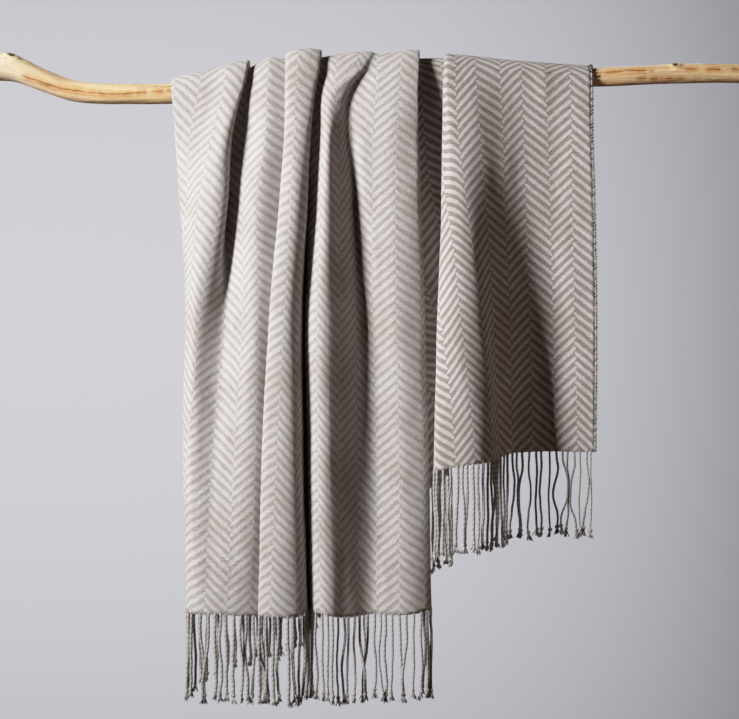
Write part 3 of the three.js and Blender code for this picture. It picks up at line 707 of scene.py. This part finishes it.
def swell(points, columns):
    """Adds the lesser swells to the part of the cloth in front of the pole."""
    before = points[:, :, 1] < 0
    for row in SWELLS:
        near = smoothstep(np.abs(columns - row["column"]) / row["columns"], 1, 0)
        level = smoothstep(np.abs(points[:, :, 2] - row["level"]) / row["height"], 1, 0)
        points[:, :, 1] -= row["out"] * near * level * before
    return points


# Two sizes of soft wave: how high, waves to a column, woven length of one, and where in the noise it is read.
WAVES = [
    {"height": 1.5, "columns": 0.9, "length": 150, "offset": 3.0},
    {"height": 0.6, "columns": 2.6, "length": 70, "offset": 8.0},
]
POLE_QUIET = 0.35  # share of the waves that is left on the pole
QUIET_REACH = 90  # height over which they come back, in millimetres


def wrinkle(points, columns, woven):
    """Soft unevenness of the hanging cloth, quieter on the pole."""
    normals = grid_normals(points)
    across, along = columns.shape
    for i in range(across):
        for j in range(along):
            wave = 0.0
            for row in WAVES:
                across_noise = columns[i, j] * row["columns"]
                along_noise = woven[i, j] / row["length"]
                wave += row["height"] * noise.noise(Vector((across_noise, along_noise, row["offset"])))
            away = abs(points[i, j, 2]) / QUIET_REACH
            points[i, j] += normals[i, j] * wave * min(1.0, POLE_QUIET + away)
    return points


def tube_template(sides, steps):
    """A closed tube of unit length along Z, with a ring at each step.

    Gives its mesh, and each vertex's share of the length and angle about it.
    """
    shape = bmesh.new()
    bmesh.ops.create_cone(shape, cap_ends=True, segments=sides, radius1=1, radius2=1, depth=1)
    long_edges = [e for e in shape.edges if abs(e.verts[0].co.z - e.verts[1].co.z) > 0.5]
    bmesh.ops.subdivide_edges(shape, edges=long_edges, cuts=steps - 1, use_grid_fill=True)
    mesh = bpy.data.meshes.new("template")
    shape.to_mesh(mesh)
    shape.free()
    coordinates = np.array([vertex.co for vertex in mesh.vertices], dtype=float)
    share = coordinates[:, 2] + 0.5
    angle = np.arctan2(coordinates[:, 1], coordinates[:, 0])
    return mesh, share, angle


BACKWARDS = np.array([0.0, 1.0, 0.03])  # tipped a little, so that no path runs along it


def tubes_shape(paths, sides, steps, section):
    """One shape with a tube along each path, and the places of its vertices in millimetres.

    section(n, share, angle, length) gives tube n's radius at each vertex, and its turn about the path.
    """
    mesh, share, angle = tube_template(sides, steps)
    shape = bmesh.new()
    for _ in paths:
        shape.from_mesh(mesh)
    places = []
    count = len(share)
    around = np.mod(angle / (2 * math.pi), 1.0)
    for n, path in enumerate(paths):
        path = np.asarray(path, float)
        length = float(np.linalg.norm(np.diff(path, axis=0), axis=1).sum())
        place = share * (len(path) - 1)
        low = np.clip(place.astype(int), 0, len(path) - 2)
        part = (place - low)[:, None]
        centre = path[low] * (1 - part) + path[low + 1] * part
        tangent = unit(np.gradient(path, axis=0))
        direction = tangent[low] * (1 - part) + tangent[low + 1] * part
        side = unit(np.cross(direction, BACKWARDS))
        other = np.cross(direction, side)
        radius, turn = section(n, share, angle, length)
        centre = centre + side * (radius * np.cos(angle + turn))[:, None]
        places.append(centre + other * (radius * np.sin(angle + turn))[:, None])
    unwrap(shape, "ply", lambda vertex: (around[vertex.index % count], share[vertex.index % count]))
    bpy.data.meshes.remove(mesh)
    return shape, np.concatenate(places)


# The twisted strands, in millimetres. Each is two plies side by side, so it is wider one way than the other.
STRAND_SIDES = 5
STRAND_RINGS = 120
STRAND_HALF_WIDTHS = (2.8, 1.9)
STRAND_ROUGHNESS = 0.08  # spread of the radius, as a share
STRAND_TAPER = 0.06
TWIST_PITCH = 8.0
BACK_FRINGE_LEFT = 308  # the back fringe keeps to the right of this place along the pole

# How thick the strands are, by their number from the right selvage.
STRAND_SIZES = [
    {"strand": 0, "size": 0.72},
    {"strand": 12, "size": 0.85},
    {"strand": 18, "size": 0.95},
    {"strand": 32, "size": 1.0},
    {"strand": 60, "size": 1.1},
    {"strand": 98, "size": 1.1},
    {"strand": 110, "size": 0.84},
    {"strand": 132, "size": 0.9},
]

# Places where neighbouring strands of the front fringe have caught each other: column of the first one, how
# many there are, and shares of their length at which they meet and part. Most stay together to the end.
NEVER = 1.4
CATCHES = [
    {"column": 1.0, "strands": 3, "meet": 0.46, "part": 0.6},
    {"column": 3.3, "strands": 2, "meet": 0.42},
    {"column": 7.2, "strands": 2, "meet": 0.8},
    {"column": 22.6, "strands": 2, "meet": 0.85},
    {"column": 25.2, "strands": 2, "meet": 0.7},
    {"column": 29.0, "strands": 3, "meet": 0.9},
    {"column": 32.8, "strands": 3, "meet": 0.86},
    {"column": 34.8, "strands": 2, "meet": 0.97},
    {"column": 36.2, "strands": 3, "meet": 0.8},
]


def strand_section(n, share, angle, length):
    """Two plies side by side, turned about each other down the strand."""
    wide, narrow = STRAND_HALF_WIDTHS
    size = np.interp(n, [row["strand"] for row in STRAND_SIZES], [row["size"] for row in STRAND_SIZES])
    size = size * (1 + 0.1 * math.sin(2.4 * n))
    radius = np.sqrt((wide * np.cos(angle)) ** 2 + (narrow * np.sin(angle)) ** 2)
    rough = 1 + random.normal(0, STRAND_ROUGHNESS, len(share))
    radius = radius * size * (1 - STRAND_TAPER * share) * rough
    return radius, share * length / TWIST_PITCH * 2 * math.pi + n


def read_line(at, places, line):
    """The points of a line at the places asked for."""
    return np.stack([np.interp(at, places, line[:, axis]) for axis in range(3)], 1)


ROOT_SPREAD = 0.05  # of a column


def hem_roots(edge, columns):
    """Where the strands of one end leave the hem, with the column number of each."""
    count = round((LAST_COLUMN - FIRST_COLUMN) * COLUMN_WIDTH / STRAND_PITCH)
    at = FIRST_COLUMN + (np.arange(count) + 0.5) / count * (LAST_COLUMN - FIRST_COLUMN)
    at += random.uniform(-ROOT_SPREAD, ROOT_SPREAD, count)
    return read_line(at, columns, edge), at


CAUGHT_SPACING = 2.1
PARTING_SHARE = 0.3  # of the strand's length, over which caught strands draw apart again


def caught(x, at, share):
    """Draws caught strands together between the places where they meet and part."""
    for row in CATCHES:
        first = int(np.searchsorted(at, row["column"]))
        group = slice(first, first + row["strands"])
        middle = x[group].mean(axis=0)
        order = (np.arange(row["strands"]) - 0.5 * (row["strands"] - 1))[:, None]
        pull = smoothstep(share, 0.25 * row["meet"], row["meet"])
        part = row.get("part", NEVER)
        pull = pull * (1 - smoothstep(share, part, part + PARTING_SHARE))
        x[group] += (middle - CAUGHT_SPACING * order - x[group]) * pull


TUFT_LENGTH = 10  # of the fringe's length, below the twisted part
LENGTH_SPREAD = 3
LEAN_SPREAD = 1.3
DEPTH_SPREAD = 1.6
LEAST_WAVE = 0.6
WAVE_SPREAD = 0.7
WILD_COLUMNS = 4.5  # up to which the strands by the right selvage sway more
WILD_WAVE = 2.2
ROOT_LIFT = 2.0  # how far a strand starts above the hem's edge


def strand_paths(roots, at, front):
    """Each strand falls from the hem, wanders a little and grows apart from the next or catches on it."""
    count = len(roots)
    share = np.linspace(0, 1, STRAND_RINGS + 1)[None, :]

    def draw(low, high):
        return random.uniform(low, high, count)[:, None]

    length = FRINGE_LENGTH - TUFT_LENGTH + random.normal(0, LENGTH_SPREAD, count)[:, None]
    wildness = np.where(at < WILD_COLUMNS, WILD_WAVE, 1.0)[:, None]
    wave = LEAST_WAVE + random.exponential(WAVE_SPREAD, count)[:, None] * wildness
    lean = random.normal(0, LEAN_SPREAD, count)[:, None]
    swing = np.sin(2 * math.pi * (share * draw(0.7, 1.4) + draw(0, 1)))
    x = roots[:, :1] + lean * share**1.4 + wave * swing * smoothstep(share, 0.0, 0.35)
    x += 0.4 * np.sin(2 * math.pi * (share * draw(3, 5) + draw(0, 1))) * share
    if front:
        caught(x, at, share)
    else:
        x = np.maximum(x, BACK_FRINGE_LEFT)
    y = roots[:, 1:2] + random.normal(0, DEPTH_SPREAD, count)[:, None] * share
    swing = np.sin(2 * math.pi * (share * draw(0.7, 1.4) + draw(0, 1)))
    y = y + 0.7 * wave * swing * smoothstep(share, 0.0, 0.35)
    z = roots[:, 2:] + ROOT_LIFT - (length + ROOT_LIFT) * share
    return np.stack([x, y, z], 2)


KNOT_HALF_WIDTHS = (3.8, 3.4, 3.7)
KNOT_LIFT = 1.0
KNOT_SIZES = (0.85, 1.15)
LOOSE_ENDS = 13  # to a tuft
LOOSE_END_SIDES = 5
LOOSE_END_RADII = (0.8, 1.35)
LOOSE_END_LENGTHS = (7.5, 13.0)
TUFT_SWING = 0.12
LOOSE_END_SPREAD = 0.23


def tuft_shape(paths):
    """The knot near each strand's end, and the brush of loose ends below it."""
    wide, deep, high = KNOT_HALF_WIDTHS
    tip, root = LOOSE_END_RADII
    shape = bmesh.new()
    for path in paths:
        end = Vector(path[-1])
        size = random.uniform(*KNOT_SIZES)
        swing = random.normal(0, TUFT_SWING, 2)
        made = bmesh.ops.create_icosphere(shape, subdivisions=1, radius=1.0)["verts"]
        for vertex in made:
            x, y, z = vertex.co
            vertex.co = (Vector((x * wide, y * deep, z * high + KNOT_LIFT)) * size + end) * MM
        for _ in range(LOOSE_ENDS):
            lean = swing + random.normal(0, LOOSE_END_SPREAD, 2)
            reach = random.uniform(*LOOSE_END_LENGTHS)
            made = bmesh.ops.create_cone(shape, cap_ends=True, segments=LOOSE_END_SIDES,
                                         radius1=tip, radius2=root, depth=1)
            for vertex in made["verts"]:
                drop = 0.5 - vertex.co.z
                hang = Vector((lean[0] * reach * drop, lean[1] * reach * drop, -drop * reach))
                vertex.co = (end + hang + Vector((vertex.co.x, vertex.co.y, 0))) * MM
    unwrap(shape, "ply", lambda vertex: (vertex.co.x / MM / 9, vertex.co.z / MM / 60))
    return shape


WHIP_PITCH = 5.6
WHIP_POINTS = 8  # to a turn
WHIP_RADIUS = 2.3
SELVAGE_OUTSET = 1.2  # of the edge cord's middle, past the cloth's edge
EDGE_CORD_RADIUS = 1.2
EDGE_CORD_SIDES = 8
WHIP_THREAD_RADIUS = 1.05
WHIP_THREAD_SIDES = 5


def selvage_paths(edge, inward):
    """The middle of the edge cord, and of the thread whipped over it."""
    step = np.linalg.norm(np.diff(edge, axis=0), axis=1)
    walked = np.concatenate([[0], np.cumsum(step)])
    count = int(walked[-1] / WHIP_PITCH * WHIP_POINTS)
    at = np.linspace(0, walked[-1], count)
    centre = read_line(at, walked, edge)
    tangent = unit(np.gradient(centre, axis=0))
    side = read_line(at, walked, inward)
    side = unit(side - tangent * (side * tangent).sum(1, keepdims=True))
    other = np.cross(tangent, side)
    turn = at / WHIP_PITCH * 2 * math.pi
    centre -= side * SELVAGE_OUTSET
    whipped = centre + side * (WHIP_RADIUS * np.cos(turn))[:, None]
    return centre, whipped + other * (WHIP_RADIUS * np.sin(turn))[:, None]


def round_section(radius):
    """An even round section, in the form that tubes_shape reads."""

    def section(n, share, angle, length):
        return np.full(len(share), radius), 0 * share

    return section


POLE_RINGS = 440
POLE_FACETS = 56
LUMP_LENGTH = 60  # of the lumps along the pole
RIDGE_LENGTH = 140
LUMP_HEIGHT = 0.55
SMALL_LUMP_HEIGHT = 0.35
RIDGE_HEIGHT = 0.22
CLOSE = 1e-6  # vertices nearer than this, in metres, are one


def pole_shape():
    """A rolled grid with flat sawn ends, bent to the pole's centre line, with lumps, ridges and knots."""
    shape = bmesh.new()
    bmesh.ops.create_grid(shape, x_segments=POLE_RINGS, y_segments=POLE_FACETS, size=0.5)
    heart = shape.verts.layers.float.new("knot")
    flat = {}
    axis = {}
    for vertex in shape.verts:
        along = (vertex.co.x + 0.5) * POLE_LENGTH
        turn = (vertex.co.y + 0.5) * 2 * math.pi
        flat[vertex] = (along / GRAIN_UNIT, turn / (2 * math.pi))
        ring = round(along, 3)
        if ring not in axis:
            place = np.array([along])
            axis[ring] = (float(pole_height(place)[0]), float(pole_radius(place)[0]))
        height, radius = axis[ring]
        lump = Vector((along / LUMP_LENGTH, 2 * math.cos(turn), 2 * math.sin(turn)))
        radius += LUMP_HEIGHT * noise.noise(lump) + SMALL_LUMP_HEIGHT * noise.noise(lump * 2.7)
        ridge = Vector((along / RIDGE_LENGTH, 5 * math.cos(turn), 5 * math.sin(turn)))
        radius += RIDGE_HEIGHT * noise.noise(ridge)
        dark = 0.0
        for knot in KNOTS:
            gap = (math.degrees(turn) - knot["turn"] + 180) % 360 - 180
            away = math.hypot(along - knot["along"], math.radians(gap) * radius) / knot["size"]
            radius += knot["rise"] * math.exp(-((away - 0.9) ** 2) * 3)
            radius -= 0.5 * knot["rise"] * math.exp(-(away**2) * 6)
            dark = max(dark, math.exp(-((away * 1.25) ** 4)))
        vertex[heart] = dark
        vertex.co = Vector((along, -radius * math.cos(turn), height + radius * math.sin(turn))) * MM
    unwrap(shape, "grain", lambda vertex: flat[vertex])
    bmesh.ops.remove_doubles(shape, verts=shape.verts, dist=CLOSE)
    rims = [edge for edge in shape.edges if edge.is_boundary]
    bmesh.ops.holes_fill(shape, edges=rims, sides=0)
    bmesh.ops.recalc_face_normals(shape, faces=shape.faces)
    return shape


points, columns, woven = drape_grid()
points = wrinkle(swell(points, columns), columns, woven)
cloth_shape = sheet_shape(points, columns, woven)
cloth = piece("silk_cloth", cloth_shape, cloth_finish(), ["throw_cloth"])
thickness = cloth.modifiers.new("thickness", "SOLIDIFY")
thickness.thickness = CLOTH_THICKNESS * MM
thickness.offset = 0.0

twisted = strand_finish()
fringes = []
for side, row in (("front", 0), ("back", -1)):
    paths = strand_paths(*hem_roots(points[:, row], columns[:, row]), side == "front")
    shape, places = tubes_shape(paths, STRAND_SIDES, STRAND_RINGS, strand_section)
    strands = piece(side + "_strands", shape, twisted, [side + "_fringe"], places)
    tufts = piece(side + "_tufts", tuft_shape(paths), twisted)
    fringes += [strands, tufts]

thread = stitch_finish()
for side, column, inner in (("right", 0, 2), ("left", -1, -3)):
    cord, whipped = selvage_paths(points[column], points[inner] - points[column])
    section = round_section(EDGE_CORD_RADIUS)
    shape, places = tubes_shape([cord], EDGE_CORD_SIDES, len(cord) // 2, section)
    fringes.append(piece(side + "_selvage_cord", shape, twisted, (), places))
    section = round_section(WHIP_THREAD_RADIUS)
    shape, places = tubes_shape([whipped], WHIP_THREAD_SIDES, len(whipped) - 1, section)
    fringes.append(piece(side + "_selvage_thread", shape, thread, (), places))

pole = piece("peeled_pole", pole_shape(), wood_finish(), ["pole"])

# The stage: a pale floor under the drape, a soft grey-lavender surround and three soft lights.
FLOOR_HALF_WIDTH = 6.0
FLOOR_MIDDLE = (0.6, -2.1, -1.6)
FLOOR_TONE = rgb(214, 213, 216)
FLOOR_GLOW = 0.62

floor_shape = bmesh.new()
bmesh.ops.create_grid(floor_shape, x_segments=1, y_segments=1, size=FLOOR_HALF_WIDTH)
floor_mesh = bpy.data.meshes.new("floor")
floor_shape.to_mesh(floor_mesh)
floor_shape.free()
floor_mesh.transform(Matrix.Translation(FLOOR_MIDDLE))
floor = link("floor", floor_mesh)
# The floor's own glow stands in for the studio's light on it, and isn't thrown up at the cloth.
floor_finish = Finish("pale_floor", Roughness=0.9, Emission_Strength=FLOOR_GLOW, Emission_Color=FLOOR_TONE)
floor.visible_diffuse = False
floor.visible_glossy = False
floor_mesh.materials.append(floor_finish.done(FLOOR_TONE))

# The camera sees the surround fall off to the right, the top and the bottom. The object gets a warm fill.
VIEW_EDGE = 0.13  # sideways part of a ray to the picture's left or right edge
VIEW_FALL = 10.3  # loss of brightness with the square of a ray's height off the brightest level
BRIGHTEST_LEVEL = 0.014
MOST_FALL = 0.25  # past which the surround gets no darker upwards and downwards
DARKENING_POWER = 3.2  # how late the surround darkens to the right
FURTHEST_RIGHT = 1.05  # past which it gets no darker
SURROUND_LEFT = rgb(214, 213, 221)
SURROUND_RIGHT = rgb(155, 154, 160)
FILL_COLOUR = rgb(255, 217, 186)
FILL_STRENGTH = 0.015

world = bpy.context.scene.world or bpy.data.worlds.new("surround")
bpy.context.scene.world = world
world.use_nodes = True
world.node_tree.nodes.clear()
surround = Graph(world.node_tree)
sideways, _, upwards = surround.parts(surround.node("ShaderNodeTexCoord"))
rightwards = surround.math("MAXIMUM", (sideways + VIEW_EDGE) / (2 * VIEW_EDGE), 0.0)
rightwards = surround.math("MINIMUM", rightwards, FURTHEST_RIGHT)
tint = surround.mix(surround.math("POWER", rightwards, DARKENING_POWER), SURROUND_LEFT, SURROUND_RIGHT)
level = upwards - BRIGHTEST_LEVEL
loss = surround.math("MINIMUM", level * level * VIEW_FALL, MOST_FALL)
backdrop = surround.node("ShaderNodeBackground", None, {0: tint, 1: 1.0 - loss})
fill = surround.node("ShaderNodeBackground", None, {0: FILL_COLOUR, 1: FILL_STRENGTH})
seen = surround.node("ShaderNodeLightPath")
both = surround.node("ShaderNodeMixShader", None, {0: seen, 1: fill, 2: backdrop})
surround.node("ShaderNodeOutputWorld", None, {0: both})


# Soft lights: place, the point that each faces, size, power in watts, colour and spread in degrees.
LIGHTS = [
    {"name": "key", "place": (-2.4, -1.8, 0.75), "target": (0.55, 0, -0.3), "size": (0.7, 1.1),
     "power": 23.8, "colour": (0.99, 0.995, 1.0), "spread": 50},
    {"name": "bounce", "place": (3.6, -0.9, -1.0), "target": (0.6, 0, -0.4), "size": (1.2, 1.2),
     "power": 9.9, "colour": (1.0, 0.77, 0.66), "spread": 180},
    {"name": "behind", "place": (1.2, 3.2, 1.2), "target": (0.6, 0, -0.4), "size": (2.0, 1.5),
     "power": 90, "colour": (1.0, 1.0, 1.0), "spread": 180},
]

for row in LIGHTS:
    light = bpy.data.lights.new(row["name"], "AREA")
    light.spread = math.radians(row["spread"])
    light.shape = "RECTANGLE"
    light.size, light.size_y = row["size"]
    light.energy = row["power"]
    light.color = row["colour"]
    lamp = link(row["name"], light)
    lamp.location = row["place"]
    towards = Vector(row["target"]) - Vector(row["place"])
    lamp.rotation_euler = towards.to_track_quat("-Z", "Y").to_euler()

# The photograph's view: level, looking along +Y, with the part's origin at its pixel in the photograph.
IMAGE_WIDTH = 739
IMAGE_HEIGHT = 719
ORIGIN_PIXEL = (-6, 66)
MM_PER_PIXEL = 1.6  # in the plane of the pole's centre line
CAMERA_DISTANCE = 4.5
SENSOR_WIDTH = 36.0
camera_data = bpy.data.cameras.new("camera")
camera_data.sensor_width = SENSOR_WIDTH
camera_data.lens = SENSOR_WIDTH * CAMERA_DISTANCE / (IMAGE_WIDTH * MM_PER_PIXEL * MM)
camera = link("camera", camera_data)
right_of_origin = (IMAGE_WIDTH / 2 - ORIGIN_PIXEL[0]) * MM_PER_PIXEL * MM
above_origin = (ORIGIN_PIXEL[1] - IMAGE_HEIGHT / 2) * MM_PER_PIXEL * MM
camera.location = (right_of_origin, -CAMERA_DISTANCE, above_origin)
camera.rotation_euler = (math.pi / 2, 0, 0)
bpy.context.scene.camera = camera

# The photograph's tone curve: nearly straight up to half brightness, then a soft shoulder.
SHOULDER = [(0.45, 0.46), (0.75, 0.69), (1.0, 0.8)]
view = bpy.context.scene.view_settings
view.view_transform = "Standard"
view.use_curve_mapping = True
tone = view.curve_mapping.curves[3]  # the curve for all three colours together
tone.points[-1].location = SHOULDER[-1]
for place in SHOULDER[:-1]:
    tone.points.new(*place)
view.curve_mapping.update()
